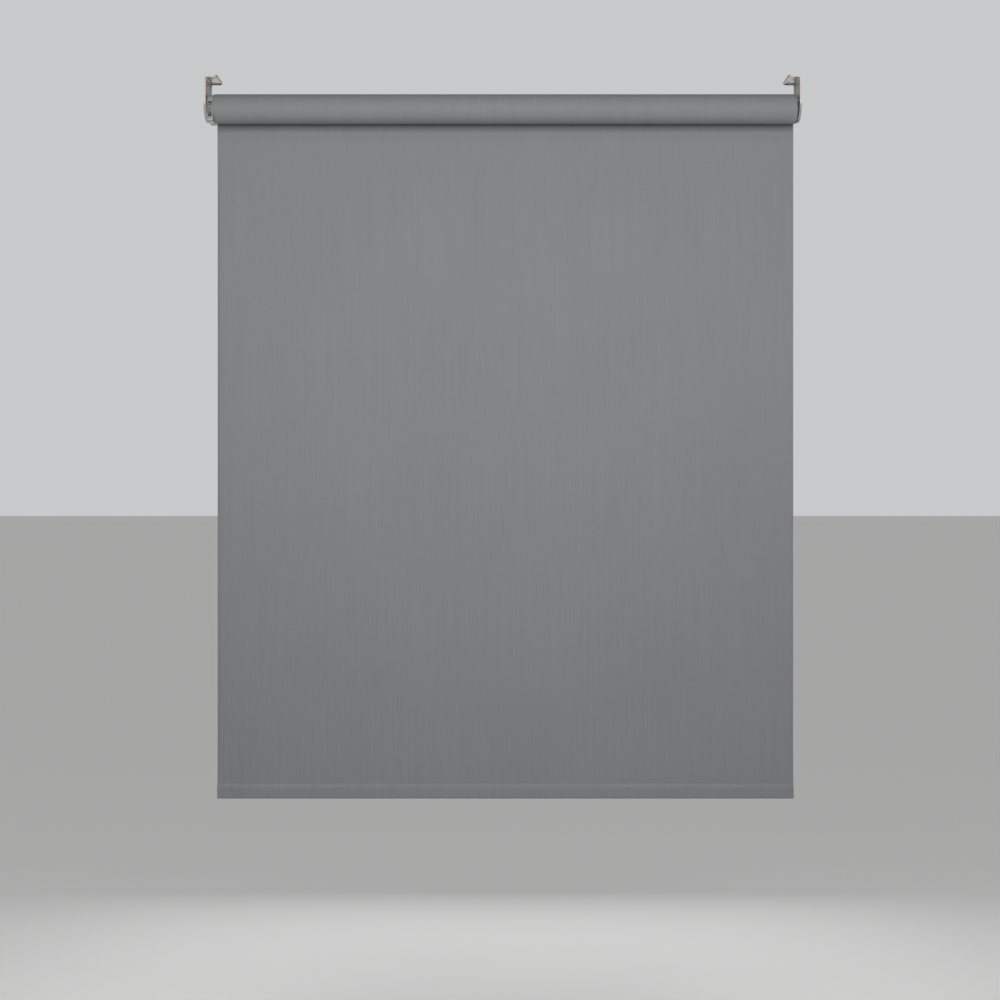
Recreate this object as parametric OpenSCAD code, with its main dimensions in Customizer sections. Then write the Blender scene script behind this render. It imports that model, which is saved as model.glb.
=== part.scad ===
// Roller blind with a side-winding chain control.
// Frame: +Z up, +X to the viewer's right, -Y towards the room, +Y towards the window.
// The origin is on the ceiling plane, midway between the brackets and level with their mid-depth.

/* [Overall] */
// Width over the outer faces of the two brackets
overall_w = 885; // [400:1:1800]
// Depth of the roller axis below the ceiling
axis_drop = 45; // [43:0.5:45.5]
// Bottom of the hem below the ceiling, as the blind hangs at rest
hem_drop = 1078.5; // [400:0.5:2400]

/* [Brackets] */
// Front-to-back depth of a bracket
bracket_d = 58; // [54:0.5:66]
// Height of a bracket
bracket_h = 65.5; // [65:0.5:72]
// Width of the bracket's top plate
top_plate_w = 20; // [18:0.5:30]
// Thickness of the pressed steel
plate_t = 1.5; // [1:0.1:2]
// Height of the stiffening rim, from the plate's outer face
rim_h = 3.3; // [2.5:0.1:4]
// Radius of a fixing screw hole
screw_hole_r = 2.3; // [1.8:0.1:2.8]
// Distance between the front and the rear hole, front to back
hole_row_gap = 28; // [20:1:34]
// Distance of the near-wall hole from the outer face
hole_near = 5.8; // [5.5:0.1:7]
// Distance of the far hole from the outer face
hole_far = 12.5; // [11:0.1:14]

/* [Roller] */
// Outer diameter of the aluminium tube
tube_od = 40; // [38:0.5:42]
// Wall thickness of the tube
tube_wall = 1.2; // [0.8:0.1:1.6]
// Radial thickness of the cloth still wound on the tube
wound_t = 1.4; // [0.9:0.1:3]

/* [Cloth and hem] */
// Thickness of the cloth
cloth_t = 0.45; // [0.3:0.05:0.8]
// Height of the hem pocket
hem_h = 25.5; // [22:0.5:34]
// Height of the hem's lower part, which holds the bottom bar
hem_lower_h = 20; // [17:0.5:22]
// Thickness of the hem pocket
hem_t = 9; // [8:0.1:10]

/* [Chain wheel] */
// Number of ball pockets round the wheel
pocket_count = 16; // [14:1:17]
// Pitch of the ball chain
chain_pitch = 6; // [5.8:0.05:6.1]
// Diameter of a chain ball
ball_d = 4.5; // [4:0.1:4.6]

/* [Hidden] */
$fn = 72;
// Overshoot that lets a cutter run past the face it cuts
cut = 1;

// Clearances: between a moving and a fixed face, a running fit's radius, a push fit's radius
face_gap = 0.3;
run_fit = 0.05;
push_fit = 0.05;

// Stations along the roller, measured inwards from the left bracket's outer face
flange_at = rim_h + 0.2;
flange_t = 1;
wheel_from = flange_at + flange_t + face_gap;
wheel_w = 6.1;
wheel_to = wheel_from + wheel_w;
cover_at = wheel_to + face_gap;
cover_t = 1;
crown_at = cover_at + cover_t + face_gap + 0.1;
crown_flange_t = 1.2;
tube_from = crown_at + crown_flange_t;
cloth_from = crown_at + 0.2;

// Stations measured inwards from the right bracket's outer face
bush_flange_to = 3.2;
plug_at = bush_flange_to + 4 * face_gap;
plug_flange_t = 1.2;
tube_end = plug_at + plug_flange_t;
cloth_end = plug_at + 0.8;

// Radii of the tube and the roll
tube_r = tube_od / 2;
tube_inner_r = tube_r - tube_wall;
roll_inner_r = tube_r + 0.1;
roll_r = roll_inner_r + wound_t;
tube_len = overall_w - tube_from - tube_end;
cloth_w = overall_w - cloth_from - cloth_end;

// Bracket details
axle_hole_r = 6.1;
window_w = 9;
window_h = 4.2;
window_up = 13.5;
rim_centre_up = axis_drop - bracket_h + bracket_d / 2;
top_corner_r = 5;
inner_bend_r = 1;
outer_bend_r = inner_bend_r + plate_t;

// Control housing and its guards, about the roller axis
housing_r = 20.6;
back_plate_r = 17.6;
hood_inner_r = 18;
hood_half_angle = 66;
fence_in = 18.3;
fence_out = 20.2;
fence_top = -18.4;
tongue_half_w = 12.4;
tongue_bottom_r = 17.9;
peg_r = 0.9;
peg_len = 2.5;
peg_ring_r = 19.3;
peg_angles = [60, 120];

// Clutch: fixed spindle, wrap springs, driving sleeve and driven core
spindle_r = 6;
spindle_key_w = 8.4;
spindle_key_at = 2.5;
spindle_to = 36.5;
clip_groove_at = 34.9;
clip_t = 0.9;
clip_groove_w = 1;
screw_r = 1.95;
screw_head_r = 3.8;
screw_head_at = 0.5;
screw_head_h = 1.85;
screw_to = 13;
spring_wire = 1.2;
spring_turns = 7;
spring_step = 1.1;
spring_centre_r = spindle_r + 0.04 + spring_wire / 2;
spring_starts = [13.2, 22.6];
tang_angle = 24;
tang_to_r = 8.6;
sleeve_inner_r = 7.6;
sleeve_r = 8.8;
sleeve_to = 31.5;
sleeve_gap_angle = 40;
core_r = 10.4;
core_inner_r = sleeve_r + face_gap;
core_to = 34.3;
core_wall_at = 31.9;
core_rib_angle = 11;
core_rib_inner_r = 7.7;
spline_count = 6;
spline_w = 2;
spline_r = 11.8;

// Ribbed plugs inside the tube's two ends
plug_hub_r = 14;
fin_w = 1.6;
fin_step = 30;
fin_r = tube_inner_r - 0.15;
crown_to = 42;
idle_plug_to = 40;

// Groove in the tube that holds the cloth's end, and its spline
channel_half_w = 4.7;
channel_floor = tube_r - 4.7;
groove_half_w = 3.5;
groove_floor = tube_r - 3.5;
groove_roof = tube_r - 0.9;
groove_mouth_half_w = 1.6;
strip_half_w = 3.2;
strip_from = tube_r - 3.2;
strip_to = tube_r - 1.2;
strip_set_back = 6;
keyway_half_w = channel_half_w + 0.4;
keyway_from = channel_floor - 0.4;

// Spring-loaded pin at the idle end
pin_r = 3;
pin_tip_at = 0.4;
pin_to = 38;
pin_chamber_r = 5.2;
pin_chamber_from = 8;
pin_chamber_to = 33;
pin_clip_at = 8.1;
pin_clip_t = 0.8;
pin_groove_depth = 0.6;
pin_clip_r = 4.9;
end_cap_r = 7;
end_cap_t = 3;
pin_spring_wire = 0.7;
pin_spring_r = 4;
pin_spring_turns = 12;
bush_r = 6.05;
bush_flange_r = 8.5;

// Ball chain wheel
pitch_r = chain_pitch / (2 * sin(180 / pocket_count));
pocket_r = ball_d / 2 + 0.18;
wheel_core_r = pitch_r + 0.12;
wheel_rim_r = 17.2;
wheel_rim_t = 0.55;
pocket_floor_r = 13;
pocket_draft = 0.15;
string_groove_w = 1.6;
string_groove_r = pitch_r - 0.9;

// Drop cloth and hem, about the cloth's plane
cloth_y = roll_r + face_gap;
hem_y = cloth_y + cloth_t / 2;
hem_corner_r = 3;
hem_shoulder = hem_lower_h / 2 - hem_corner_r;
hem_taper_h = hem_h - hem_lower_h + hem_corner_r;
pocket_wall = 2 * cloth_t;
bar_h = hem_lower_h - 3.4;
bar_t = hem_t - 2.2;
bar_corner_r = 2.4;
bar_wall = 1.1;
bar_end_gap = 2;
cap_flange_t = 1.5;
cap_plug_len = 12;
cap_h = hem_lower_h - 2.2;
cap_t = bar_t + 0.1;
bar_mid_z = -hem_drop + hem_lower_h / 2;

// Local frames at the two ends: Z runs inwards along the roller, Y is up
module from_left() translate([-overall_w / 2, 0, -axis_drop]) rotate([90, 0, 90]) children();
module from_right() translate([overall_w / 2, 0, -axis_drop]) rotate([90, 0, -90]) children();

// A straight tube or disc standing on a station of the local Z axis
module ring(outer_r, inner_r, at, to) {
    translate([0, 0, at]) linear_extrude(to - at) difference() {
        circle(outer_r);
        circle(inner_r);
    }
}

module disc(r, at, to) translate([0, 0, at]) cylinder(h = to - at, r = r);

// A flat sector about angle, as wide as 2 * half, that reaches past r
module wedge(r, angle, half) {
    rotate(angle) polygon([[0, 0], for (k = [-2:2]) 2 * r * [cos(k * half / 2), sin(k * half / 2)]]);
}

module rounded_bar(w, h, r) {
    square([w, h - 2 * r], center = true);
    square([w - 2 * r, h], center = true);
    for (sx = [-1, 1], sy = [-1, 1]) translate([sx * (w / 2 - r), sy * (h / 2 - r)]) circle(r);
}

// ---- Brackets ----

module side_outline(inset) {
    half_w = bracket_d / 2 - inset;
    translate([-half_w, rim_centre_up]) square([2 * half_w, axis_drop - rim_centre_up]);
    translate([0, rim_centre_up]) circle(half_w);
}

module top_outline(inset) {
    half_w = bracket_d / 2 - inset;
    reach = top_plate_w - inset;
    translate([-half_w, 0]) square([2 * half_w, reach - top_corner_r]);
    translate([top_corner_r - half_w, 0]) square([2 * (half_w - top_corner_r), reach]);
    for (s = [-1, 1]) translate([s * (half_w - top_corner_r), reach - top_corner_r]) circle(top_corner_r);
}

module side_holes() {
    circle(axle_hole_r);
    for (s = [-1, 1]) translate([0, s * window_up]) square([window_w, window_h], center = true);
}

module hang_from_ceiling(h) translate([0, axis_drop, 0]) rotate([90, 0, 0]) linear_extrude(h) children();

module side_plate() {
    linear_extrude(plate_t) difference() {
        side_outline(0);
        side_holes();
    }
    linear_extrude(rim_h) difference() {
        side_outline(0);
        side_outline(plate_t);
    }
}

// Drawn in the section across the bend, and run along its whole length
module along_bend(run_past) {
    translate([bracket_d / 2 + run_past, 0, 0]) rotate([0, -90, 0])
        linear_extrude(bracket_d + 2 * run_past) children();
}

module inner_bend() {
    along_bend(0) translate([plate_t, axis_drop - plate_t - inner_bend_r]) difference() {
        square(inner_bend_r);
        translate([inner_bend_r, 0]) circle(inner_bend_r);
    }
}

module outer_bend_cut() {
    along_bend(cut) translate([outer_bend_r, axis_drop - outer_bend_r]) difference() {
        translate([-outer_bend_r - cut, 0]) square(outer_bend_r + cut);
        circle(outer_bend_r);
    }
}

module top_plate() {
    hang_from_ceiling(plate_t) top_outline(0);
    hang_from_ceiling(rim_h) difference() {
        top_outline(0);
        top_outline(plate_t);
    }
}

module screw_holes() {
    for (p = [[-hole_row_gap / 2, hole_far], [hole_row_gap / 2, hole_near]])
        translate([p.x, axis_drop + cut, p.y]) rotate([90, 0, 0])
            cylinder(h = plate_t + 2 * cut, r = screw_hole_r);
}

module bracket() {
    color("silver") difference() {
        union() {
            side_plate();
            top_plate();
            inner_bend();
        }
        screw_holes();
        outer_bend_cut();
    }
}

module bracket_left() from_left() bracket();

module bracket_right() from_right() bracket();

// ---- Control head, fixed parts ----

// Outline of the two cheeks that the chain runs between
module cheek_outline() {
    circle(housing_r);
    translate([-fence_out, -housing_r]) square([2 * fence_out, housing_r - 6]);
}

module hood_outline() {
    intersection() {
        difference() {
            circle(housing_r);
            circle(hood_inner_r);
        }
        wedge(housing_r, 90, hood_half_angle);
    }
}

// Outer fences and the tongue between them leave a slot for each fall of the chain
module chain_guide_outline() {
    for (s = [-1, 1])
        translate([s * (fence_in + fence_out) / 2, (fence_top - housing_r) / 2])
            square([fence_out - fence_in, housing_r + fence_top], center = true);
    difference() {
        translate([-tongue_half_w, -housing_r]) square([2 * tongue_half_w, housing_r / 2]);
        circle(tongue_bottom_r);
    }
}

module peg_ring() {
    for (a = peg_angles) rotate(a) translate([peg_ring_r, 0]) children();
    translate([0, -peg_ring_r]) children();
}

module control_housing() {
    color("whitesmoke") from_left() difference() {
        union() {
            disc(axle_hole_r - push_fit, 0.2, plate_t);
            for (s = [-1, 1])
                translate([0, s * window_up, (plate_t + 0.2) / 2])
                    cube([window_w - 0.4, window_h - 0.4, plate_t - 0.2], center = true);
            disc(back_plate_r, plate_t, flange_at);
            translate([0, 0, flange_at]) linear_extrude(flange_t) cheek_outline();
            translate([0, 0, flange_at]) linear_extrude(cover_at - flange_at) {
                hood_outline();
                chain_guide_outline();
            }
        }
        disc(screw_r + 0.1, -cut, flange_at + cut);
        translate([0, 0, screw_head_at])
            cylinder(h = screw_head_h, r1 = screw_head_r + 0.1, r2 = screw_r + 0.1);
        disc(screw_head_r + 0.1, -cut, screw_head_at);
        translate([0, 0, spindle_key_at]) linear_extrude(flange_at + flange_t)
            square(spindle_key_w + 2 * push_fit, center = true);
        peg_ring() disc(peg_r + push_fit, cover_at - peg_len - 0.3, cover_at + cut);
    }
}

module chain_guard_cover() {
    color("whitesmoke") from_left() {
        translate([0, 0, cover_at]) linear_extrude(cover_t) difference() {
            cheek_outline();
            circle(sleeve_r + 2 * face_gap);
        }
        peg_ring() disc(peg_r, cover_at - peg_len, cover_at + cover_t / 2);
    }
}

module clutch_spindle() {
    color("gainsboro") from_left() difference() {
        union() {
            translate([0, 0, spindle_key_at]) linear_extrude(flange_at + flange_t - spindle_key_at)
                square(spindle_key_w, center = true);
            disc(spindle_r, flange_at + flange_t, spindle_to);
        }
        disc(screw_r + 0.05, -cut, screw_to + cut);
        ring(spindle_r + cut, spindle_r - 1.2, clip_groove_at, clip_groove_at + clip_groove_w);
    }
}

module spindle_screw() {
    color("silver") from_left() difference() {
        union() {
            translate([0, 0, screw_head_at]) cylinder(h = screw_head_h, r1 = screw_head_r, r2 = screw_r);
            disc(screw_r, screw_head_at, screw_to);
        }
        translate([0, 0, screw_head_at]) for (a = [0, 90])
            rotate(a) cube([4.2, 0.9, 1.8], center = true);
    }
}

// An E-shaped retaining clip, open on one side
module retaining_clip(outer_r, inner_r, at, t) {
    translate([0, 0, at]) linear_extrude(t) difference() {
        circle(outer_r);
        circle(inner_r);
        translate([0, -outer_r]) square([1.3 * inner_r, 2 * outer_r], center = true);
    }
}

module spindle_clip() {
    color("dimgray") from_left()
        retaining_clip(spindle_r + 2, spindle_r - 1.15, clip_groove_at + 0.05, clip_t);
}

module pin_bush() {
    color("whitesmoke") from_right() {
        ring(bush_r, pin_r + run_fit, 0.2, plate_t + 0.2);
        ring(bush_flange_r, pin_r + run_fit, plate_t, bush_flange_to);
    }
}

// ---- Chain wheel and clutch springs ----

module wheel_blank() {
    rotate_extrude() polygon([
        [spindle_r + run_fit, wheel_from],
        [wheel_rim_r, wheel_from],
        [wheel_rim_r, wheel_from + wheel_rim_t],
        [wheel_core_r, wheel_from + wheel_rim_t],
        [wheel_core_r, wheel_from + (wheel_w - string_groove_w) / 2],
        [string_groove_r, wheel_from + (wheel_w - string_groove_w) / 2],
        [string_groove_r, wheel_from + (wheel_w + string_groove_w) / 2],
        [wheel_core_r, wheel_from + (wheel_w + string_groove_w) / 2],
        [wheel_core_r, wheel_to - wheel_rim_t],
        [wheel_rim_r, wheel_to - wheel_rim_t],
        [wheel_rim_r, wheel_to],
        [spindle_r + run_fit, wheel_to]
    ]);
}

// One cup for a chain ball, cut radially and widened a little outwards by its moulding draft
module ball_pocket() {
    translate([pocket_floor_r, 0, wheel_from + wheel_w / 2]) rotate([0, 90, 0])
        cylinder(h = wheel_rim_r - pocket_floor_r, r1 = pocket_r - pocket_draft, r2 = pocket_r);
}

module chain_wheel() {
    color("gainsboro") from_left() {
        difference() {
            wheel_blank();
            for (i = [0:pocket_count - 1]) rotate((i + 0.5) * 360 / pocket_count) ball_pocket();
        }
        translate([0, 0, wheel_to - 0.2]) linear_extrude(sleeve_to - wheel_to + 0.2) difference() {
            circle(sleeve_r);
            circle(sleeve_inner_r);
            wedge(sleeve_r, 0, sleeve_gap_angle);
        }
    }
}

// A row of spring rings of eight-sided wire, joined by a thin sleeve
module spring_rings(centre_r, wire, start, step, turns) {
    sleeve_t = wire / 3;
    rotate_extrude() {
        for (i = [0:turns - 1]) translate([centre_r, start + i * step]) rotate(22.5) circle(wire / 2, $fn = 8);
        translate([centre_r - sleeve_t / 2, start]) square([sleeve_t, (turns - 1) * step]);
    }
}

// A closely wound wrap spring with a radial tang at each end
module clutch_spring(start) {
    last = start + (spring_turns - 1) * spring_step;
    spring_rings(spring_centre_r, spring_wire, start, spring_step, spring_turns);
    for (t = [[-tang_angle, start], [tang_angle, last]])
        rotate(t[0]) translate([spring_centre_r, 0, t[1]]) rotate([0, 90, 0])
            cylinder(h = tang_to_r - spring_centre_r, r = spring_wire / 2 - 0.1, $fn = 8);
}

module clutch_spring_inner() color("slategray") from_left() clutch_spring(spring_starts[0]);

module clutch_spring_outer() color("slategray") from_left() clutch_spring(spring_starts[1]);

// ---- Roller ----

module spline_outline(clearance) {
    circle(core_r + clearance);
    for (i = [0:spline_count - 1])
        rotate(i * 360 / spline_count)
            translate([0, -spline_w / 2 - clearance])
                square([spline_r + clearance, spline_w + 2 * clearance]);
}

module drive_core() {
    color("lightsteelblue") from_left() {
        translate([0, 0, crown_at]) linear_extrude(core_to - crown_at) difference() {
            spline_outline(0);
            circle(core_inner_r);
        }
        translate([0, 0, crown_at]) linear_extrude(core_to - crown_at) intersection() {
            difference() {
                circle(core_inner_r + 0.5);
                circle(core_rib_inner_r);
            }
            wedge(core_inner_r, 0, core_rib_angle);
        }
        ring(core_inner_r + 0.5, spindle_r + run_fit, core_wall_at, core_to);
    }
}

// Hub and fins of a plug, with the keyway that clears the tube's groove
module plug_outline() {
    difference() {
        union() {
            circle(plug_hub_r);
            for (a = [0:fin_step:359])
                rotate(a) translate([0, -fin_w / 2]) square([fin_r - 0.2, fin_w]);
            for (a = [0:fin_step:359])
                rotate(a) translate([fin_r - fin_w / 2, 0]) circle(fin_w / 2, $fn = 24);
        }
        translate([-keyway_half_w, keyway_from]) square([2 * keyway_half_w, fin_r]);
    }
}

module drive_crown() {
    color("gray") from_left() difference() {
        union() {
            disc(tube_r, crown_at, tube_from);
            translate([0, 0, tube_from]) linear_extrude(crown_to - tube_from) plug_outline();
        }
        translate([0, 0, crown_at - cut]) linear_extrude(crown_to) spline_outline(push_fit);
    }
}

module roller_tube() {
    color("lightgray") from_left() translate([0, 0, tube_from]) linear_extrude(tube_len) difference() {
        intersection() {
            circle(tube_r);
            union() {
                difference() {
                    circle(tube_r + cut);
                    circle(tube_inner_r);
                }
                translate([-channel_half_w, channel_floor])
                    square([2 * channel_half_w, tube_r - channel_floor]);
            }
        }
        translate([-groove_half_w, groove_floor])
            square([2 * groove_half_w, groove_roof - groove_floor]);
        translate([-groove_mouth_half_w, groove_floor]) square([2 * groove_mouth_half_w, tube_r]);
    }
}

module cloth_spline() {
    color("ivory") from_left() translate([0, 0, tube_from + strip_set_back])
        linear_extrude(tube_len - 2 * strip_set_back)
            translate([0, (strip_from + strip_to) / 2])
                rounded_bar(2 * strip_half_w, strip_to - strip_from, 0.8);
}

module rolled_cloth() {
    color("gray") from_left() ring(roll_r, roll_inner_r, cloth_from, cloth_from + cloth_w);
}

// ---- Idle end ----

module idle_plug() {
    color("gray") from_right() difference() {
        union() {
            disc(tube_r, plug_at, tube_end);
            translate([0, 0, tube_end]) linear_extrude(idle_plug_to - tube_end) plug_outline();
        }
        disc(pin_r + run_fit, -cut, idle_plug_to);
        disc(pin_chamber_r, pin_chamber_from, idle_plug_to);
        disc(end_cap_r + push_fit, pin_chamber_to, idle_plug_to + cut);
    }
}

module plug_end_cap() {
    color("whitesmoke") from_right()
        ring(end_cap_r, pin_r + 2 * run_fit, pin_chamber_to, pin_chamber_to + end_cap_t);
}

module idle_pin() {
    chamfer = 0.6;
    groove_r = pin_r - pin_groove_depth;
    color("silver") from_right() rotate_extrude() polygon([
        [0, pin_tip_at],
        [pin_r - chamfer, pin_tip_at],
        [pin_r, pin_tip_at + chamfer],
        [pin_r, pin_clip_at - 0.05],
        [groove_r, pin_clip_at - 0.05],
        [groove_r, pin_clip_at + pin_clip_t + 0.05],
        [pin_r, pin_clip_at + pin_clip_t + 0.05],
        [pin_r, pin_to - chamfer],
        [pin_r - chamfer, pin_to],
        [0, pin_to]
    ]);
}

module pin_clip() {
    color("dimgray") from_right()
        retaining_clip(pin_clip_r, pin_r - pin_groove_depth + 0.05, pin_clip_at, pin_clip_t);
}

// The coil spring stands between the clip and the end cap
module pin_spring() {
    from = pin_clip_at + pin_clip_t + pin_spring_wire / 2 + 0.1;
    to = pin_chamber_to - pin_spring_wire / 2 - 0.1;
    step = (to - from) / (pin_spring_turns - 1);
    color("slategray") from_right()
        spring_rings(pin_spring_r, pin_spring_wire, from, step, pin_spring_turns);
}

// ---- Cloth and bottom bar ----

module drop_cloth() {
    hem_top_z = hem_h - hem_drop;
    color("gray") translate([cloth_from - overall_w / 2, cloth_y, hem_top_z])
        cube([cloth_w, cloth_t, -axis_drop - hem_top_z]);
}

// Children are drawn in the hem's cross-section, about the bar's middle, and run along X from one
// distance to another, both measured from the cloth's left edge
module along_hem(from, to) {
    translate([cloth_from - overall_w / 2 + from, hem_y, bar_mid_z]) rotate([90, 0, 90])
        linear_extrude(to - from) children();
}

// A rounded lower part, and a taper above it to where the front and back layers meet
module hem_outline(inset, tip_half_w, tip_down) {
    half_w = hem_t / 2 - inset;
    rounded_bar(2 * half_w, hem_lower_h - 2 * inset, hem_corner_r - inset);
    translate([0, hem_shoulder]) polygon([
        [-half_w, 0],
        [half_w, 0],
        [tip_half_w, hem_taper_h - tip_down],
        [-tip_half_w, hem_taper_h - tip_down]
    ]);
}

module hem_pocket() {
    color("gray") along_hem(0, cloth_w) difference() {
        hem_outline(0, cloth_t, 0);
        hem_outline(pocket_wall, 0.1, 2 * pocket_wall);
    }
}

module bottom_bar() {
    color("silver") along_hem(bar_end_gap, cloth_w - bar_end_gap) difference() {
        rounded_bar(bar_t, bar_h, bar_corner_r);
        rounded_bar(bar_t - 2 * bar_wall, bar_h - 2 * bar_wall, bar_corner_r - bar_wall);
    }
}

module bar_cap(flange_from, plug_from) {
    color("dimgray") {
        along_hem(flange_from, flange_from + cap_flange_t) rounded_bar(cap_t, cap_h, bar_corner_r + 0.2);
        along_hem(plug_from, plug_from + cap_plug_len)
            rounded_bar(bar_t - 2 * bar_wall - 0.1, bar_h - 2 * bar_wall - 0.1, bar_corner_r - bar_wall);
    }
}

module bar_cap_left() bar_cap(bar_end_gap - cap_flange_t, bar_end_gap);

module bar_cap_right() {
    bar_cap(cloth_w - bar_end_gap, cloth_w - bar_end_gap - cap_plug_len);
}

bracket_left();
bracket_right();
control_housing();
chain_guard_cover();
clutch_spindle();
spindle_screw();
spindle_clip();
pin_bush();
chain_wheel();
clutch_spring_inner();
clutch_spring_outer();
drive_core();
drive_crown();
roller_tube();
cloth_spline();
rolled_cloth();
idle_plug();
plug_end_cap();
idle_pin();
pin_clip();
pin_spring();
drop_cloth();
hem_pocket();
bottom_bar();
bar_cap_left();
bar_cap_right();
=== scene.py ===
"""Roller blind: the looks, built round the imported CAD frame. Lengths are in metres."""

import math

import bpy
import numpy as np
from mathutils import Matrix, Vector


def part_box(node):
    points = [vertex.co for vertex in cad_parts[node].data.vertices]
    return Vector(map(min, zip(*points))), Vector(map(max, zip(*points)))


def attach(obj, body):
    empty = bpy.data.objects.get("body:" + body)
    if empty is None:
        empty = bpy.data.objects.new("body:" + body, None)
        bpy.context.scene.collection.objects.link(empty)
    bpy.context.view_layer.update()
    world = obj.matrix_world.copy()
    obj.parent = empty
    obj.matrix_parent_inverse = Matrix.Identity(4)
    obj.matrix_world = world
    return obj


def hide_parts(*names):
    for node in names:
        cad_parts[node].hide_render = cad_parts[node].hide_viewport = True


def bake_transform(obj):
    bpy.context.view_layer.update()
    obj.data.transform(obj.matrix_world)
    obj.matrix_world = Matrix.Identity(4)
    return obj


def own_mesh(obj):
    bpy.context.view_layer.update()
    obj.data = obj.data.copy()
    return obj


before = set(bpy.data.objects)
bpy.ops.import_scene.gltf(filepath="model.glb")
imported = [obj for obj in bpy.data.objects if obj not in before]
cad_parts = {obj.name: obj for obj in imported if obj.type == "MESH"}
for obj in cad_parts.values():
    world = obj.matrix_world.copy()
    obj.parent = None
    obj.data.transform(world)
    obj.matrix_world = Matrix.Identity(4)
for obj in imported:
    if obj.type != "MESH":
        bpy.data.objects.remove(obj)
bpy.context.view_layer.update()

MM = 0.001
TAU = 2 * math.pi

# ---- Places, read from the CAD ----


def corners(node):
    """The low and high corners of a CAD node's box."""
    low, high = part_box(node)
    return Vector(low), Vector(high)


roll_low, roll_high = corners("rolled_cloth")
drop_low, drop_high = corners("drop_cloth")
hem_low, hem_high = corners("hem_pocket")
tube_low, tube_high = corners("roller_tube")
AXIS_Z = (roll_low.z + roll_high.z) / 2
TUBE_R = (tube_high.z - tube_low.z) / 2
CLOTH_FROM, CLOTH_TO = drop_low.x, drop_high.x
CLOTH_T = drop_high.y - drop_low.y

# The cloth's centreline: its last turn lies round the inner ones, and leaves the roll straight
# down at the back. Angles are about the roller's axis, from +Y.
WRAP_OUTSET = 0.025 * MM
WRAP_R = round(roll_high.y, 6) + WRAP_OUTSET
WRAP_END = math.radians(340)
TURN_PITCH = 0.6 * MM
TUBE_GAP = 0.015 * MM
INNER_R = TUBE_R + TUBE_GAP + CLOTH_T / 2
GROOVE_ANGLE = math.radians(810)
DROP_LEN = AXIS_Z - hem_high.z

# The hem's flap is welded up the back of the drop, which hangs free above it
FLAP_RISE = 6 * MM
WELD_MARGIN = 0.5 * MM
FREE_LEN = DROP_LEN - FLAP_RISE - WELD_MARGIN


# ---- Node helpers ----


class Shader:
    """One material, with short calls for the nodes that its recipes use."""

    def __init__(self, name):
        self.mat = bpy.data.materials.new(name)
        self.mat.use_nodes = True
        self.tree = self.mat.node_tree
        self.tree.nodes.clear()
        out = self.tree.nodes.new("ShaderNodeOutputMaterial")
        self.bsdf = self.tree.nodes.new("ShaderNodeBsdfPrincipled")
        self.tree.links.new(self.bsdf.outputs["BSDF"], out.inputs["Surface"])

    def plug(self, socket, value):
        if isinstance(value, bpy.types.NodeSocket):
            self.tree.links.new(value, socket)
        else:
            socket.default_value = value

    def node(self, kind, inputs, **props):
        made = self.tree.nodes.new("ShaderNode" + kind)
        for key, value in props.items():
            setattr(made, key, value)
        for key, value in inputs.items():
            self.plug(made.inputs[key], value)
        return made

    def place(self, scale, uv=None):
        """Coordinates in metres times scale: the object's own, or a named UV map's."""
        if uv:
            source = self.node("UVMap", {}, uv_map=uv).outputs["UV"]
        else:
            source = self.node("TexCoord", {}).outputs["Object"]
        return self.node("Mapping", {"Vector": source, "Scale": scale}).outputs["Vector"]

    def noise(self, scale, detail=2.0, uv=None, distortion=0.0):
        return self.node(
            "TexNoise",
            {"Vector": self.place(scale, uv), "Scale": 1.0, "Detail": detail, "Distortion": distortion},
        ).outputs["Fac"]

    def math(self, operation, a, b=0.0):
        return self.node("Math", {0: a, 1: b}, operation=operation).outputs[0]

    def spread(self, value, low, high, start=0.3, stop=0.7):
        """value, from start to stop, spread over low to high."""
        return self.node(
            "MapRange",
            {"Value": value, "From Min": start, "From Max": stop, "To Min": low, "To Max": high},
        ).outputs["Result"]

    def times(self, colour, *factors):
        """A colour, or a colour socket, multiplied by each factor in turn."""
        for factor in factors:
            scaled = self.node("VectorMath", {"Scale": factor}, operation="SCALE")
            self.plug(scaled.inputs[0], colour)
            colour = scaled.outputs[0]
        return colour

    def mix(self, factor, a, b):
        """Colour a mixed towards b. The Mix node's colours are sockets 6 and 7, and its result 2."""
        mixed = self.node("Mix", {}, data_type="RGBA")
        self.plug(mixed.inputs[0], factor)
        self.plug(mixed.inputs[6], a)
        self.plug(mixed.inputs[7], b)
        return mixed.outputs[2]

    def bump(self, height, distance, strength=1.0):
        inputs = {"Height": height, "Distance": distance, "Strength": strength}
        return self.node("Bump", inputs).outputs["Normal"]

    def edge_wear(self, radius):
        """1 along sharp edges, falling to 0 within about the radius of them."""
        rounded = self.node("Bevel", {"Radius": radius}, samples=4).outputs["Normal"]
        flat = self.node("NewGeometry", {}).outputs["Normal"]
        facing = self.node("VectorMath", {0: rounded, 1: flat}, operation="DOT_PRODUCT")
        return self.spread(facing.outputs["Value"], 1.0, 0.0, 0.8, 0.98)

    def finish(self, **sockets):
        for key, value in sockets.items():
            self.plug(self.bsdf.inputs[key.replace("_", " ")], value)
        return self.mat


def rgba(colour):
    return (*colour, 1.0)


# ---- Materials ----

CLOTH_COLOUR = (0.212, 0.215, 0.222)
CORE_COLOUR = (0.27, 0.272, 0.275)
WORN_STEEL_COLOUR = (0.56, 0.55, 0.52)
FLOOR_COLOUR = (0.86, 0.86, 0.855)
FLOOR_GLOW_COLOUR = (1.0, 0.995, 0.985)
FLOOR_GLOW = 0.28
CLOTH_UV = "cloth"
YARN_PITCH = 0.42 * MM
STEEL_WEAR_REACH, STEEL_WEAR = 0.35 * MM, 0.55
MOULD_WEAR_REACH, MOULD_WEAR = 0.2 * MM, 0.25
MOULD_GRAIN = 0.35 * MM


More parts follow.
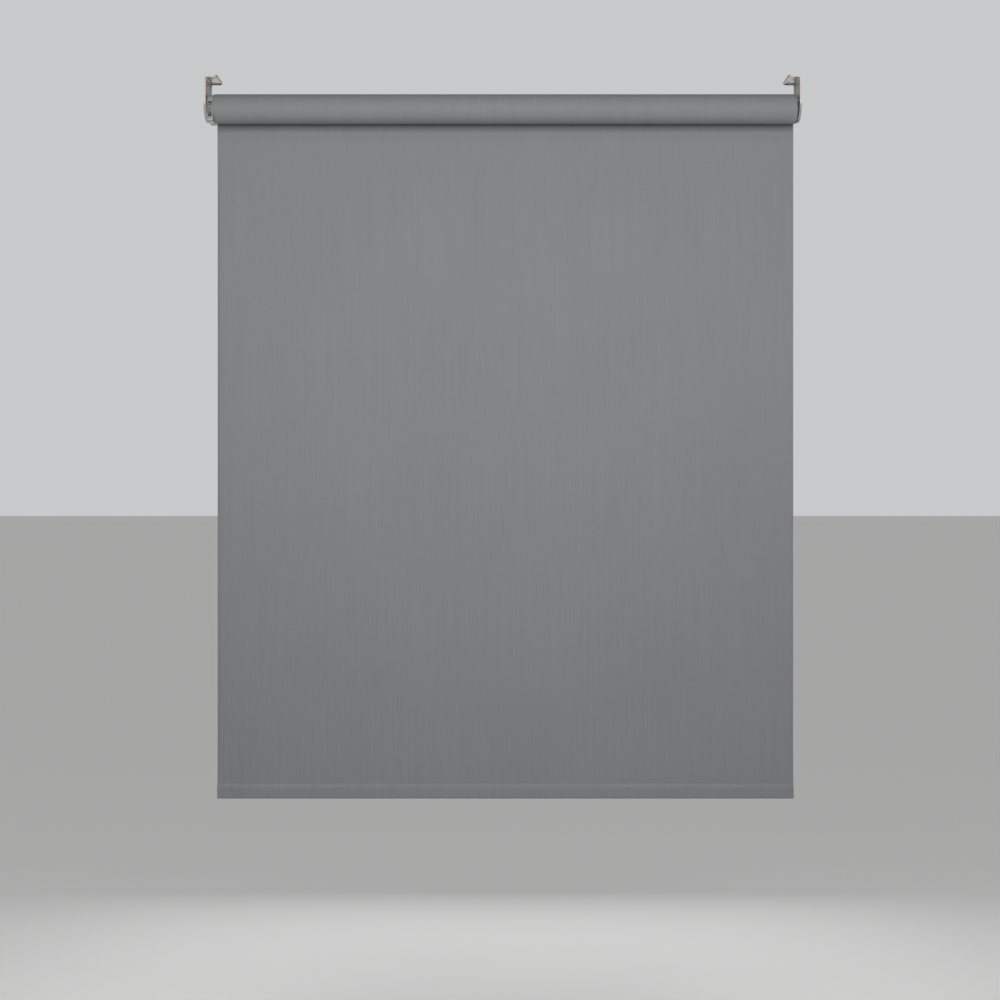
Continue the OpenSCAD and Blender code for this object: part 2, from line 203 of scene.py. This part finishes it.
def cloth_material(name, weave_height, roughness):
    """Coated blackout cloth: a fine plain weave with slubs that run the length of the cloth."""
    s = Shader(name)
    uv = s.node("UVMap", {}, uv_map=CLOTH_UV).outputs["UV"]
    split = s.node("SeparateXYZ", {"Vector": uv})
    across = s.math("SINE", s.math("MULTIPLY", split.outputs["X"], math.pi / YARN_PITCH))
    along = s.math("SINE", s.math("MULTIPLY", split.outputs["Y"], math.pi / YARN_PITCH))
    weave = s.math("MULTIPLY", across, along)
    slub = s.noise((330, 5, 1), 3.0, CLOTH_UV)
    yarn = s.noise((1400, 30, 1), 2.0, CLOTH_UV)
    cross_yarn = s.noise((40, 1200, 1), 1.0, CLOTH_UV)
    mottle = s.noise((7, 5, 1), 3.0, CLOTH_UV)
    colour = s.times(
        CLOTH_COLOUR,
        s.spread(slub, 0.965, 1.035),
        s.spread(yarn, 0.955, 1.045),
        s.spread(cross_yarn, 0.98, 1.02),
        s.spread(mottle, 0.985, 1.015),
        s.spread(weave, 0.94, 1.04, -1.0, 1.0),
    )
    height = s.math("ADD", s.math("MULTIPLY", weave, 0.5), s.math("MULTIPLY", yarn, 1.1))
    height = s.math("ADD", height, s.math("MULTIPLY", slub, 0.8))
    return s.finish(
        Base_Color=colour,
        Roughness=s.spread(yarn, roughness - 0.06, roughness + 0.06),
        Specular_IOR_Level=0.32,
        Sheen_Weight=0.12,
        Sheen_Roughness=0.5,
        Normal=s.bump(height, weave_height, 0.8),
    )


def cut_edge_material(name):
    """The cut edge of the cloth: the paler foam core between the two faces."""
    s = Shader(name)
    fibres = s.noise((2200, 2200, 2200), 3.0)
    tone = s.noise((90, 90, 90), 2.0)
    colour = s.times(CORE_COLOUR, s.spread(fibres, 0.82, 1.15), s.spread(tone, 0.95, 1.05))
    return s.finish(
        Base_Color=colour,
        Roughness=0.9,
        Specular_IOR_Level=0.2,
        Normal=s.bump(fibres, 0.06 * MM),
    )


def pressed_steel_material(name, colour):
    """Plated pressed steel: grain along Y, faint spangle, fine scratches and brighter worn edges."""
    s = Shader(name)
    grain = s.noise((1300, 28, 1300), 3.0)
    cloud = s.noise((45, 45, 45), 3.0, distortion=0.6)
    spangle = s.node(
        "TexVoronoi", {"Vector": s.place((260, 260, 260)), "Scale": 1.0}, feature="SMOOTH_F1"
    ).outputs["Color"]
    spangle = s.node("SeparateXYZ", {"Vector": spangle}).outputs["X"]
    scratch = s.noise((60, 2600, 60), 1.0, distortion=1.2)
    scratch = s.spread(scratch, 0.0, 1.0, 0.66, 0.7)
    edge = s.edge_wear(STEEL_WEAR_REACH)
    body = s.times(
        colour, s.spread(grain, 0.93, 1.07), s.spread(cloud, 0.93, 1.05),
        s.spread(spangle, 0.96, 1.04, 0.0, 1.0),
    )
    worn = s.mix(s.math("MULTIPLY", edge, STEEL_WEAR), body, rgba(WORN_STEEL_COLOUR))
    rough = s.math("ADD", s.spread(grain, 0.34, 0.46), s.spread(cloud, -0.05, 0.06))
    rough = s.math("SUBTRACT", rough, s.math("MULTIPLY", edge, 0.08))
    height = s.math("SUBTRACT", grain, s.math("MULTIPLY", scratch, 0.4))
    return s.finish(
        Base_Color=worn,
        Metallic=0.35,
        Roughness=rough,
        Normal=s.bump(height, 0.012 * MM, 0.7),
    )


def moulded_material(name, colour, roughness=0.45):
    """Injection-moulded plastic: fine spark-eroded grain, slow sink marks, lighter rubbed edges."""
    s = Shader(name)
    grain = s.noise((1 / MOULD_GRAIN,) * 3, 2.0)
    flow = s.noise((55, 55, 55), 3.0, distortion=0.8)
    dust = s.noise((420, 420, 420), 3.0)
    edge = s.edge_wear(MOULD_WEAR_REACH)
    pale = tuple(min(1.0, c * 1.12 + 0.05) for c in colour)
    body = s.times(colour, s.spread(flow, 0.96, 1.03), s.spread(dust, 0.96, 1.02))
    worn = s.mix(s.math("MULTIPLY", edge, MOULD_WEAR), body, rgba(pale))
    rough = s.math("ADD", s.spread(dust, roughness - 0.05, roughness + 0.07), s.spread(flow, -0.03, 0.03))
    height = s.math("ADD", s.math("MULTIPLY", grain, 0.7), s.math("MULTIPLY", flow, 0.6))
    return s.finish(
        Base_Color=worn,
        Roughness=rough,
        Specular_IOR_Level=0.45,
        Normal=s.bump(height, 0.02 * MM, 0.6),
    )


def extruded_material(name, colour, roughness=0.34):
    """Mill-finish aluminium: die lines along X, slight colour streaks, a few handling marks."""
    s = Shader(name)
    lines = s.noise((3, 2400, 2400), 3.0)
    streak = s.noise((1.5, 160, 160), 2.0)
    marks = s.spread(s.noise((130, 130, 130), 4.0, distortion=0.5), 0.0, 1.0, 0.62, 0.72)
    body = s.times(colour, s.spread(lines, 0.93, 1.05), s.spread(streak, 0.94, 1.04))
    rough = s.spread(lines, roughness - 0.05, roughness + 0.08)
    rough = s.math("ADD", rough, s.math("MULTIPLY", marks, 0.08))
    return s.finish(
        Base_Color=body,
        Metallic=1.0,
        Roughness=rough,
        Normal=s.bump(lines, 0.01 * MM, 0.7),
    )


def drawn_steel_material(name, colour, roughness):
    """Drawn wire and turned pins: tight scratches round the part and a thin oil film's clouding."""
    s = Shader(name)
    turned = s.noise((2600, 300, 300), 2.0)
    oil = s.noise((220, 220, 220), 3.0, distortion=0.7)
    body = s.times(colour, s.spread(turned, 0.92, 1.06), s.spread(oil, 0.88, 1.06))
    return s.finish(
        Base_Color=body,
        Metallic=1.0,
        Roughness=s.spread(oil, roughness - 0.07, roughness + 0.12),
        Normal=s.bump(turned, 0.008 * MM, 0.6),
    )


def floor_material():
    """A plain pale floor, matt and softly lit from within, with only a trace of unevenness."""
    s = Shader("floor_paint")
    tone = s.noise((1.2, 1.2, 1.2), 3.0)
    return s.finish(
        Base_Color=s.times(FLOOR_COLOUR, s.spread(tone, 0.985, 1.015)),
        Emission_Color=rgba(FLOOR_GLOW_COLOUR),
        Emission_Strength=FLOOR_GLOW,
        Roughness=0.85,
        Specular_IOR_Level=0.2,
    )


CLOTH_FACE = cloth_material("cloth_face", 0.05 * MM, 0.78)
CLOTH_REVERSE = cloth_material("cloth_reverse", 0.035 * MM, 0.7)
CLOTH_EDGE = cut_edge_material("cloth_cut_edge")
# Painted shade: the colours of the bracket steel, the control plastic and the wheel plastic are set
# darker than the parts' own colours. The darkening stands in for the shade that falls on them where they
# hang at the top of the window.
SHADED_BRACKET_STEEL = pressed_steel_material("bracket_steel", (0.38, 0.366, 0.338))
SHADED_CONTROL_PLASTIC = moulded_material("control_plastic", (0.37, 0.367, 0.352))
SHADED_WHEEL_PLASTIC = moulded_material("wheel_plastic", (0.31, 0.308, 0.295), 0.36)
SPINDLE_PLASTIC = moulded_material("spindle_plastic", (0.66, 0.66, 0.64), 0.32)
PLUG_PLASTIC = moulded_material("plug_plastic", (0.055, 0.055, 0.058), 0.5)
SPLINE_PLASTIC = moulded_material("spline_plastic", (0.7, 0.69, 0.64), 0.4)
CAP_PLASTIC = moulded_material("cap_plastic", (0.09, 0.09, 0.095), 0.5)
PLATED_STEEL = drawn_steel_material("plated_steel", (0.66, 0.65, 0.62), 0.26)
SPRING_STEEL = drawn_steel_material("spring_steel", (0.3, 0.3, 0.31), 0.3)
TUBE_ALUMINIUM = extruded_material("tube_aluminium", (0.74, 0.745, 0.75))
BAR_ALUMINIUM = extruded_material("bar_aluminium", (0.76, 0.765, 0.77), 0.3)

# ---- Finishing the CAD nodes that stay ----

# Node: its material, and the width in millimetres of the rounding on its sharp edges
KEPT_NODES = {
    "bracket_left": (SHADED_BRACKET_STEEL, 0.22),
    "bracket_right": (SHADED_BRACKET_STEEL, 0.22),
    "control_housing": (SHADED_CONTROL_PLASTIC, 0.14),
    "chain_guard_cover": (SHADED_CONTROL_PLASTIC, 0.14),
    "clutch_spindle": (SPINDLE_PLASTIC, 0.12),
    "spindle_screw": (PLATED_STEEL, 0.06),
    "spindle_clip": (SPRING_STEEL, 0.08),
    "pin_bush": (SHADED_CONTROL_PLASTIC, 0.12),
    "chain_wheel": (SHADED_WHEEL_PLASTIC, 0.06),
    "drive_core": (SPINDLE_PLASTIC, 0.1),
    "drive_crown": (PLUG_PLASTIC, 0.15),
    "roller_tube": (TUBE_ALUMINIUM, 0.1),
    "cloth_spline": (SPLINE_PLASTIC, 0.1),
    "idle_plug": (PLUG_PLASTIC, 0.15),
    "plug_end_cap": (SPINDLE_PLASTIC, 0.1),
    "idle_pin": (PLATED_STEEL, 0.08),
    "pin_clip": (SPRING_STEEL, 0.06),
    "bottom_bar": (BAR_ALUMINIUM, 0.1),
    "bar_cap_left": (CAP_PLASTIC, 0.15),
    "bar_cap_right": (CAP_PLASTIC, 0.15),
}
CORNER_GAP = 0.002 * MM
FLAT_ANGLE = math.radians(0.4)
EDGE_ANGLE = math.radians(35)
FLAT_SHADING = 90


def round_edges(obj, width):
    """Modifiers that join the CAD mesh's split corners and flats, round its sharp edges and shade it."""
    weld = obj.modifiers.new("join_corners", "WELD")
    weld.merge_threshold = CORNER_GAP
    flat = obj.modifiers.new("join_flats", "DECIMATE")
    flat.decimate_type = "DISSOLVE"
    flat.angle_limit = FLAT_ANGLE
    bevel = obj.modifiers.new("round_edges", "BEVEL")
    bevel.width = width * MM
    bevel.segments = 2
    bevel.limit_method = "ANGLE"
    bevel.angle_limit = EDGE_ANGLE
    bevel.miter_outer = "MITER_ARC"
    shading = obj.modifiers.new("shade_by_area", "WEIGHTED_NORMAL")
    shading.weight = FLAT_SHADING


def finish_kept_nodes():
    for name, (material, width) in KEPT_NODES.items():
        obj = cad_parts[name]
        obj.data.materials.clear()
        obj.data.materials.append(material)
        round_edges(obj, width)


# ---- Mesh helpers ----

SHARP_ANGLE = math.radians(50)
WIRE_DOME = 0.4


def add_mesh(name, points, faces, materials, face_materials=None):
    mesh = bpy.data.meshes.new(name)
    mesh.from_pydata([tuple(p) for p in points], [], faces)
    for material in materials:
        mesh.materials.append(material)
    mesh.polygons.foreach_set("use_smooth", [True] * len(mesh.polygons))
    if face_materials is not None:
        mesh.polygons.foreach_set("material_index", face_materials)
    mesh.update()
    obj = bpy.data.objects.new(name, mesh)
    bpy.context.scene.collection.objects.link(obj)
    return obj


def lengths_along(path):
    """Distance along a path of (y, z) points, from its first point to each one."""
    steps = np.hypot(*(np.diff(np.array(path), axis=0).T))
    return np.concatenate(([0.0], np.cumsum(steps)))


def path_normals(path):
    """Normals (y, z) of a path, to its right, mitred at its corners. On the drop they face the room."""
    line = np.array(path)
    steps = np.diff(line, axis=0)
    steps /= np.hypot(steps[:, 0], steps[:, 1])[:, None]
    ahead = np.vstack((steps, steps[-1:]))
    behind = np.vstack((steps[:1], steps))
    middle = ahead + behind
    middle /= np.hypot(middle[:, 0], middle[:, 1])[:, None]
    stretch = 1 / np.clip((middle * ahead).sum(axis=1), 0.5, 1.0)
    return np.column_stack((middle[:, 1], -middle[:, 0])) * stretch[:, None]


def cloth_sheet(name, path, stations, start_length=0.0, shape=None):
    """A strip of cloth of its full thickness: path is its section in (y, z), run along X stations.

    Its UV map holds metres across and along the cloth. Its first material is the side that faces
    the room on the drop, its second the reverse, its third the cut edge. shape(x, length) returns
    a small shift along Y.
    """
    along = lengths_along(path)
    normals = path_normals(path)
    points, coords = [], []
    for side in (0.5, -0.5):
        for (y, z), (ny, nz), length in zip(path, normals, along):
            for x in stations:
                dy = shape(x, length) if shape else 0.0
                points.append((x, y + dy + ny * side * CLOTH_T, z + nz * side * CLOTH_T))
                coords.append((x - CLOTH_FROM, start_length + length))
    row, rows = len(stations), len(path)
    sheet = row * rows
    faces, kinds = [], []
    for i in range(rows - 1):
        for j in range(row - 1):
            a = i * row + j
            faces.append((a, a + row, a + row + 1, a + 1))
            faces.append((sheet + a, sheet + a + 1, sheet + a + row + 1, sheet + a + row))
            kinds += [0, 1]
    for i in range(rows - 1):
        a, b = i * row, i * row + row - 1
        faces.append((a, sheet + a, sheet + a + row, a + row))
        faces.append((b, b + row, sheet + b + row, sheet + b))
        kinds += [2, 2]
    for j in range(row - 1):
        a, b = j, (rows - 1) * row + j
        faces.append((a, a + 1, sheet + a + 1, sheet + a))
        faces.append((b, sheet + b, sheet + b + 1, b + 1))
        kinds += [2, 2]
    obj = add_mesh(name, points, faces, [CLOTH_FACE, CLOTH_REVERSE, CLOTH_EDGE], kinds)
    obj.data.set_sharp_from_angle(angle=SHARP_ANGLE)
    layer = obj.data.uv_layers.new(name=CLOTH_UV)
    uvs = np.array([coords[loop.vertex_index] for loop in obj.data.loops], float)
    layer.data.foreach_set("uv", uvs.ravel())
    return obj


def tube_mesh(name, line, radius, material, sides=12):
    """A round wire along a line of points, with closed, slightly domed ends."""
    line = [Vector(p) for p in line]
    points, faces = [], []
    side = Vector((0, 0, 1))
    count = len(line)
    for i, here in enumerate(line):
        direction = (line[min(i + 1, count - 1)] - line[max(i - 1, 0)]).normalized()
        side = (side - direction * side.dot(direction)).normalized()
        other = direction.cross(side)
        for k in range(sides):
            angle = TAU * k / sides
            points.append(here + radius * (math.cos(angle) * side + math.sin(angle) * other))
    for i in range(count - 1):
        for k in range(sides):
            a, b = i * sides + k, i * sides + (k + 1) % sides
            faces.append((a, b, b + sides, a + sides))
    for end, inwards in ((0, 1), (count - 1, -1)):
        tip = line[end] + (line[end] - line[end + inwards]).normalized() * radius * WIRE_DOME
        points.append(tip)
        for k in range(sides):
            a, b = end * sides + k, end * sides + (k + 1) % sides
            faces.append((len(points) - 1, b, a) if inwards == 1 else (len(points) - 1, a, b))
    return add_mesh(name, points, faces, [material])


# ---- Cloth ----

FINE_RIM, RIM_POINTS = 9 * MM, 7
TURN_POINTS = 96
WRAP_POINTS, FREE_POINTS, WELD_POINTS = 92, 150, 4

# The cloth's bend from the innermost turn down to the tube's groove: y, and depth below the turn
GROOVE_BEND = ((-0.1 * MM, 0.12 * MM), (-0.16 * MM, 0.45 * MM))
GROOVE_REACH = 1.1 * MM

# How far in from the cloth's edge each curl starts, and how far towards the window it takes the edge
LEFT_CURLS = ((22 * MM, 1.2 * MM), (5.5 * MM, 1.5 * MM))
RIGHT_CURLS = ((14 * MM, 0.35 * MM),)

# Heights of the waves in cloth that has been rolled up, and where they settle into the roll and weld
SLOW_WAVE, FINE_WAVE, ROLL_WAVE = 0.22 * MM, 0.07 * MM, 0.1 * MM
ROLL_WAVE_PITCH = 0.31
SETTLE_AT_ROLL, SETTLE_AT_WELD = 0.12, 0.05


def across_stations(count):
    """X stations across the cloth, closer together where its two side edges curl."""
    rim = np.linspace(0, FINE_RIM, RIM_POINTS)[:-1]
    middle = np.linspace(CLOTH_FROM + FINE_RIM, CLOTH_TO - FINE_RIM, count)
    return np.concatenate((CLOTH_FROM + rim, middle, (CLOTH_TO - rim)[::-1]))


def roll_point(radius, angle):
    """The (y, z) point at an angle round the roller's axis."""
    return (radius * math.cos(angle), AXIS_Z + radius * math.sin(angle))


def build_rolled_cloth():
    """The inner turns: a spiral from under the outer turn down to the groove in the tube."""
    count = int((GROOVE_ANGLE - WRAP_END) / TAU * TURN_POINTS) + 1
    angles = np.linspace(WRAP_END, GROOVE_ANGLE, count)
    path = [roll_point(INNER_R + TURN_PITCH * (GROOVE_ANGLE - a) / TAU, a) for a in angles]
    path += [(y, AXIS_Z + INNER_R - depth) for y, depth in GROOVE_BEND]
    path.append((GROOVE_BEND[-1][0], AXIS_Z + TUBE_R - GROOVE_REACH))
    cloth = cloth_sheet("rolled_turns", path[::-1], across_stations(count=25), -GROOVE_ANGLE * WRAP_R)
    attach(cloth, "roller")
    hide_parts("rolled_cloth")
    float(lengths_along(path)[-1])


def edge_curl(x):
    """How far the cloth at x is curled towards the window."""
    def curl(inset, curls):
        return sum(reach * max(0.0, 1 - inset / width) ** 2 for width, reach in curls)
    return curl(x - CLOTH_FROM, LEFT_CURLS) + curl(CLOTH_TO - x, RIGHT_CURLS)


def drop_ripple(x, down):
    """The shift along Y of the cloth's shallow waves, down the drop below the roll's axis."""
    slow = math.sin(x * 11.3 + 1.7 * math.sin(down * 2.3) + 0.8)
    fine = math.sin(x * 31.0 - down * 4.1 + 2.0)
    roll_set = math.sin(down * TAU / ROLL_WAVE_PITCH + 0.9 * math.sin(x * 5.2))
    return SLOW_WAVE * slow + FINE_WAVE * fine + ROLL_WAVE * roll_set


def build_drop_cloth():
    """The outer turn on the roll and the drop below it, in one sheet, flat where the hem is welded."""
    wrap = [roll_point(WRAP_R, a) for a in np.linspace(WRAP_END, 0, WRAP_POINTS)]
    free = np.linspace(0, FREE_LEN, FREE_POINTS)[1:]
    down = np.concatenate((free, np.linspace(FREE_LEN, DROP_LEN, WELD_POINTS)[1:]))
    path = wrap + [(WRAP_R, AXIS_Z - d) for d in down]
    wrap_length = float(lengths_along(wrap)[-1])

    def shape(x, length):
        below = length - wrap_length
        if not 0 < below < FREE_LEN:
            return 0.0
        settle = min(1.0, below / SETTLE_AT_ROLL) ** 2 * min(1.0, (FREE_LEN - below) / SETTLE_AT_WELD)
        return settle * (drop_ripple(x, below) + edge_curl(x))

    cloth = cloth_sheet("drop_cloth_sheet", path, across_stations(count=97), 0.0, shape)
    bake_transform(cloth)
    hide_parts("drop_cloth")
    float(lengths_along(path)[-1])


HEM_FRONT_Y = hem_low.y + CLOTH_T / 2
HEM_BACK_Y = hem_high.y - CLOTH_T / 2
HEM_BOTTOM_Z = hem_low.z + CLOTH_T / 2
HEM_CORNER_R = 2.7 * MM
SHOULDER_START = 2.9 * MM
SHOULDER_DROP = 8.1 * MM
SHOULDER_R = 2.6 * MM
SHOULDER_POINTS, CORNER_POINTS = 6, 9
LAYER_GAP = 0.02 * MM
FLAP_BEND_RISE, FLAP_BEND_R, FLAP_BEND_POINTS = 0.4 * MM, 5 * MM, 5
HEM_STEP = 2.2 * MM
HEM_RIPPLE, HEM_RIPPLE_END = 0.05 * MM, 20 * MM


def rounded_corner(before, corner, after, radius, count):
    """An arc that rounds the corner of a path of (y, z) points."""
    corner = Vector(corner)
    to_before = (Vector(before) - corner).normalized()
    to_after = (Vector(after) - corner).normalized()
    half = math.acos(max(-1.0, min(1.0, to_before.dot(to_after)))) / 2
    reach = radius / math.tan(half)
    start, stop = corner + to_before * reach, corner + to_after * reach
    centre = corner + (to_before + to_after).normalized() * radius / math.sin(half)
    a, b = start - centre, stop - centre
    turn = a.angle(b)
    points = []
    for i in range(count):
        t = i / (count - 1)
        mixed = (a * math.sin((1 - t) * turn) + b * math.sin(t * turn)) / math.sin(turn)
        points.append(tuple(centre + mixed))
    return points


def build_hem():
    """The cloth's end folded up round the bar at the back and welded to itself."""
    top = (WRAP_R, hem_high.z)
    shoulder_z = hem_high.z - SHOULDER_DROP
    back_layer_y = WRAP_R + CLOTH_T + LAYER_GAP
    corner_list = [
        ((WRAP_R, hem_high.z - SHOULDER_START), SHOULDER_R, SHOULDER_POINTS),
        ((HEM_FRONT_Y, shoulder_z), SHOULDER_R, SHOULDER_POINTS),
        ((HEM_FRONT_Y, HEM_BOTTOM_Z), HEM_CORNER_R, CORNER_POINTS),
        ((HEM_BACK_Y, HEM_BOTTOM_Z), HEM_CORNER_R, CORNER_POINTS),
        ((HEM_BACK_Y, shoulder_z), SHOULDER_R, SHOULDER_POINTS),
        ((back_layer_y, hem_high.z + FLAP_BEND_RISE), FLAP_BEND_R, FLAP_BEND_POINTS),
    ]
    end = (back_layer_y, hem_high.z + FLAP_RISE)
    anchors = [top] + [c[0] for c in corner_list] + [end]
    path = [top]
    for i, (corner, radius, count) in enumerate(corner_list):
        path += rounded_corner(anchors[i], corner, anchors[i + 2], radius, count)
    path.append(end)
    dense = [path[0]]
    for a, b in zip(path, path[1:]):
        pieces = max(1, int(math.dist(a, b) / HEM_STEP))
        dense += [(a[0] + (b[0] - a[0]) * k / pieces, a[1] + (b[1] - a[1]) * k / pieces)
                  for k in range(1, pieces + 1)]

    def shape(x, length):
        grip = math.sin(math.pi * min(1.0, length / HEM_RIPPLE_END))
        return HEM_RIPPLE * grip * math.sin(x * 47 + 1.3)

    cloth = cloth_sheet("hem_fold", dense, across_stations(count=73), WRAP_R * TAU + DROP_LEN, shape)
    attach(cloth, "bar")
    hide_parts("hem_pocket")
    float(lengths_along(dense)[-1])


# ---- Springs ----

COIL_POINTS = 28
WRAP_WIRE_R = 0.52 * MM
WRAP_BORE_R = 6.1 * MM
WRAP_TURNS = 6
TANG_ANGLE = math.radians(24)
TANG_REACH, TANG_STEPS = 1.75 * MM, 3
PIN_WIRE_R = 0.35 * MM
PIN_COIL_R = 4 * MM
PIN_TURNS = 13
CLOSED_TURNS = 1.2


def helix(place, radius, turns, start_angle=0.0):
    """A coil about the roller's axis. place(t) is its X, as t goes from 0 to 1 along it."""
    count = int(turns * COIL_POINTS) + 1
    points = []
    for i in range(count):
        t = i / (count - 1)
        angle = start_angle + TAU * turns * t
        points.append((place(t), radius * math.cos(angle), AXIS_Z + radius * math.sin(angle)))
    return points


def add_tangs(line):
    """Bends both ends of a coil out along a radius, as the wrap spring's tangs are."""
    def outwards(point):
        radial = Vector((0, point[1], point[2] - AXIS_Z)).normalized()
        steps = [TANG_REACH * k / TANG_STEPS for k in range(1, TANG_STEPS + 1)]
        return [tuple(Vector(point) + radial * step) for step in steps]
    return outwards(line[0])[::-1] + line + outwards(line[-1])


def build_wrap_springs():
    """The clutch's two springs, of even pitch, their tangs to either side of +Y."""
    for node in ("clutch_spring_inner", "clutch_spring_outer"):
        low, high = corners(node)
        start, stop = low.x + WRAP_WIRE_R, high.x - WRAP_WIRE_R
        turns = WRAP_TURNS + 2 * TANG_ANGLE / TAU
        line = helix(lambda t: start + (stop - start) * t, WRAP_BORE_R + WRAP_WIRE_R, turns, -TANG_ANGLE)
        spring = tube_mesh(node + "_coil", add_tangs(line), WRAP_WIRE_R, SPRING_STEEL)
        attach(spring, "chain_wheel")
        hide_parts(node)


def build_pin_spring():
    """A coil with closer end turns, squeezed between the clip and the end cap."""
    low, high = corners("pin_spring")
    length = high.x - low.x
    closed = CLOSED_TURNS / PIN_TURNS
    closed_length = CLOSED_TURNS * PIN_WIRE_R
    open_length = length - 2 * PIN_WIRE_R - 2 * closed_length

    def place(t):
        in_closed = (min(t, closed) + max(t - 1 + closed, 0)) / closed
        in_open = min(max((t - closed) / (1 - 2 * closed), 0), 1)
        return low.x + PIN_WIRE_R + closed_length * in_closed + open_length * in_open

    line = helix(place, PIN_COIL_R, PIN_TURNS)
    spring = tube_mesh("pin_spring_coil", line, PIN_WIRE_R, SPRING_STEEL, 10)
    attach(spring, "roller")
    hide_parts("pin_spring")
    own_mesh(spring)


# ---- Stage, lights and camera ----

FLOOR_Z = -1.62
FLOOR_HALF, FLOOR_SQUARES = 60.0, 40
CAMERA_PLACE = (0.0063, -2.689, -0.6095)
CAMERA_LENS, CAMERA_SENSOR, CAMERA_REACH = 64.8, 36, 200
CAMERA_SHIFT = (-0.007, -0.013)
SKY_COLOUR = (0.97, 0.98, 1.0)

# The sky's strength near the horizon and overhead, its gain at the back, and its tone for the camera
SKY_LOW, SKY_TOP, SKY_BACK, SKY_SEEN = 0.2, 0.03, 2.4, 0.6
SKY_HEIGHTS = (0.15, 0.75)
SKY_SIDES = (0.0, 0.5)

# Name, place, target, size, power in watts and spread in degrees
AREA_LIGHTS = (
    ("key", (0.02, -1.2, 0.08), (0, 0, -0.25), (2.4, 0.6), 17.4, 180),
    ("high_fill", (0, -1.4, 0.9), (0, 0, -1.0), (1.6, 0.3), 1.55, 44),
    ("window_side", (0, 1.8, -0.6), (0, 0, -0.6), (1.6, 1.2), 9, 180),
)


def build_stage():
    row = FLOOR_SQUARES + 1
    line = np.linspace(-FLOOR_HALF, FLOOR_HALF, row)
    points = [(x, y, FLOOR_Z) for y in line for x in line]
    faces = [(j * row + i, j * row + i + 1, (j + 1) * row + i + 1, (j + 1) * row + i)
             for j in range(FLOOR_SQUARES) for i in range(FLOOR_SQUARES)]
    floor = add_mesh("floor", points, faces, [floor_material()])


def add_area_light(name, place, target, size, power, spread):
    light = bpy.data.lights.new(name, "AREA")
    light.shape = "RECTANGLE"
    light.size, light.size_y = size
    light.energy = power
    light.spread = math.radians(spread)
    obj = bpy.data.objects.new(name, light)
    obj.location = place
    obj.rotation_euler = (Vector(target) - Vector(place)).to_track_quat("-Z", "Y").to_euler()
    obj.visible_camera = False
    bpy.context.scene.collection.objects.link(obj)


def spread_over(tree, value, limits, low, high):
    """value, between its two limits, spread over low to high, in the world's node tree."""
    ramp = tree.nodes.new("ShaderNodeMapRange")
    tree.links.new(value, ramp.inputs["Value"])
    for key, number in zip(("From Min", "From Max", "To Min", "To Max"), (*limits, low, high)):
        ramp.inputs[key].default_value = number
    return ramp.outputs["Result"]


def build_lights():
    """A soft sky, dim overhead and brighter at the back but seen as one even tone, and the lights."""
    world = bpy.data.worlds.new("studio")
    world.use_nodes = True
    tree = world.node_tree
    direction = tree.nodes.new("ShaderNodeTexCoord")
    axes = tree.nodes.new("ShaderNodeSeparateXYZ")
    tree.links.new(direction.outputs["Generated"], axes.inputs["Vector"])
    by_height = spread_over(tree, axes.outputs["Z"], SKY_HEIGHTS, SKY_LOW, SKY_TOP)
    by_side = spread_over(tree, axes.outputs["Y"], SKY_SIDES, 1.0, SKY_BACK)
    lighting = tree.nodes.new("ShaderNodeMath")
    lighting.operation = "MULTIPLY"
    tree.links.new(by_height, lighting.inputs[0])
    tree.links.new(by_side, lighting.inputs[1])

    # A number's Mix node has its factor in socket 0 and the two numbers in 2 and 3
    seen = tree.nodes.new("ShaderNodeLightPath")
    strength = tree.nodes.new("ShaderNodeMix")
    tree.links.new(seen.outputs["Is Camera Ray"], strength.inputs[0])
    tree.links.new(lighting.outputs[0], strength.inputs[2])
    strength.inputs[3].default_value = SKY_SEEN

    sky = tree.nodes["Background"]
    sky.inputs["Color"].default_value = rgba(SKY_COLOUR)
    tree.links.new(strength.outputs[0], sky.inputs["Strength"])
    bpy.context.scene.world = world
    for light in AREA_LIGHTS:
        add_area_light(*light)


def build_camera():
    camera = bpy.data.cameras.new("camera")
    camera.lens = CAMERA_LENS
    camera.sensor_width = CAMERA_SENSOR
    camera.shift_x, camera.shift_y = CAMERA_SHIFT
    camera.clip_end = CAMERA_REACH
    obj = bpy.data.objects.new("camera", camera)
    obj.location = CAMERA_PLACE
    obj.rotation_euler = (math.radians(90), 0, 0)
    bpy.context.scene.collection.objects.link(obj)
    bpy.context.scene.camera = obj


bpy.context.scene.view_settings.view_transform = "Standard"

build_camera()
build_lights()
build_stage()
finish_kept_nodes()
build_rolled_cloth()
build_hem()
build_drop_cloth()
build_wrap_springs()
build_pin_spring()
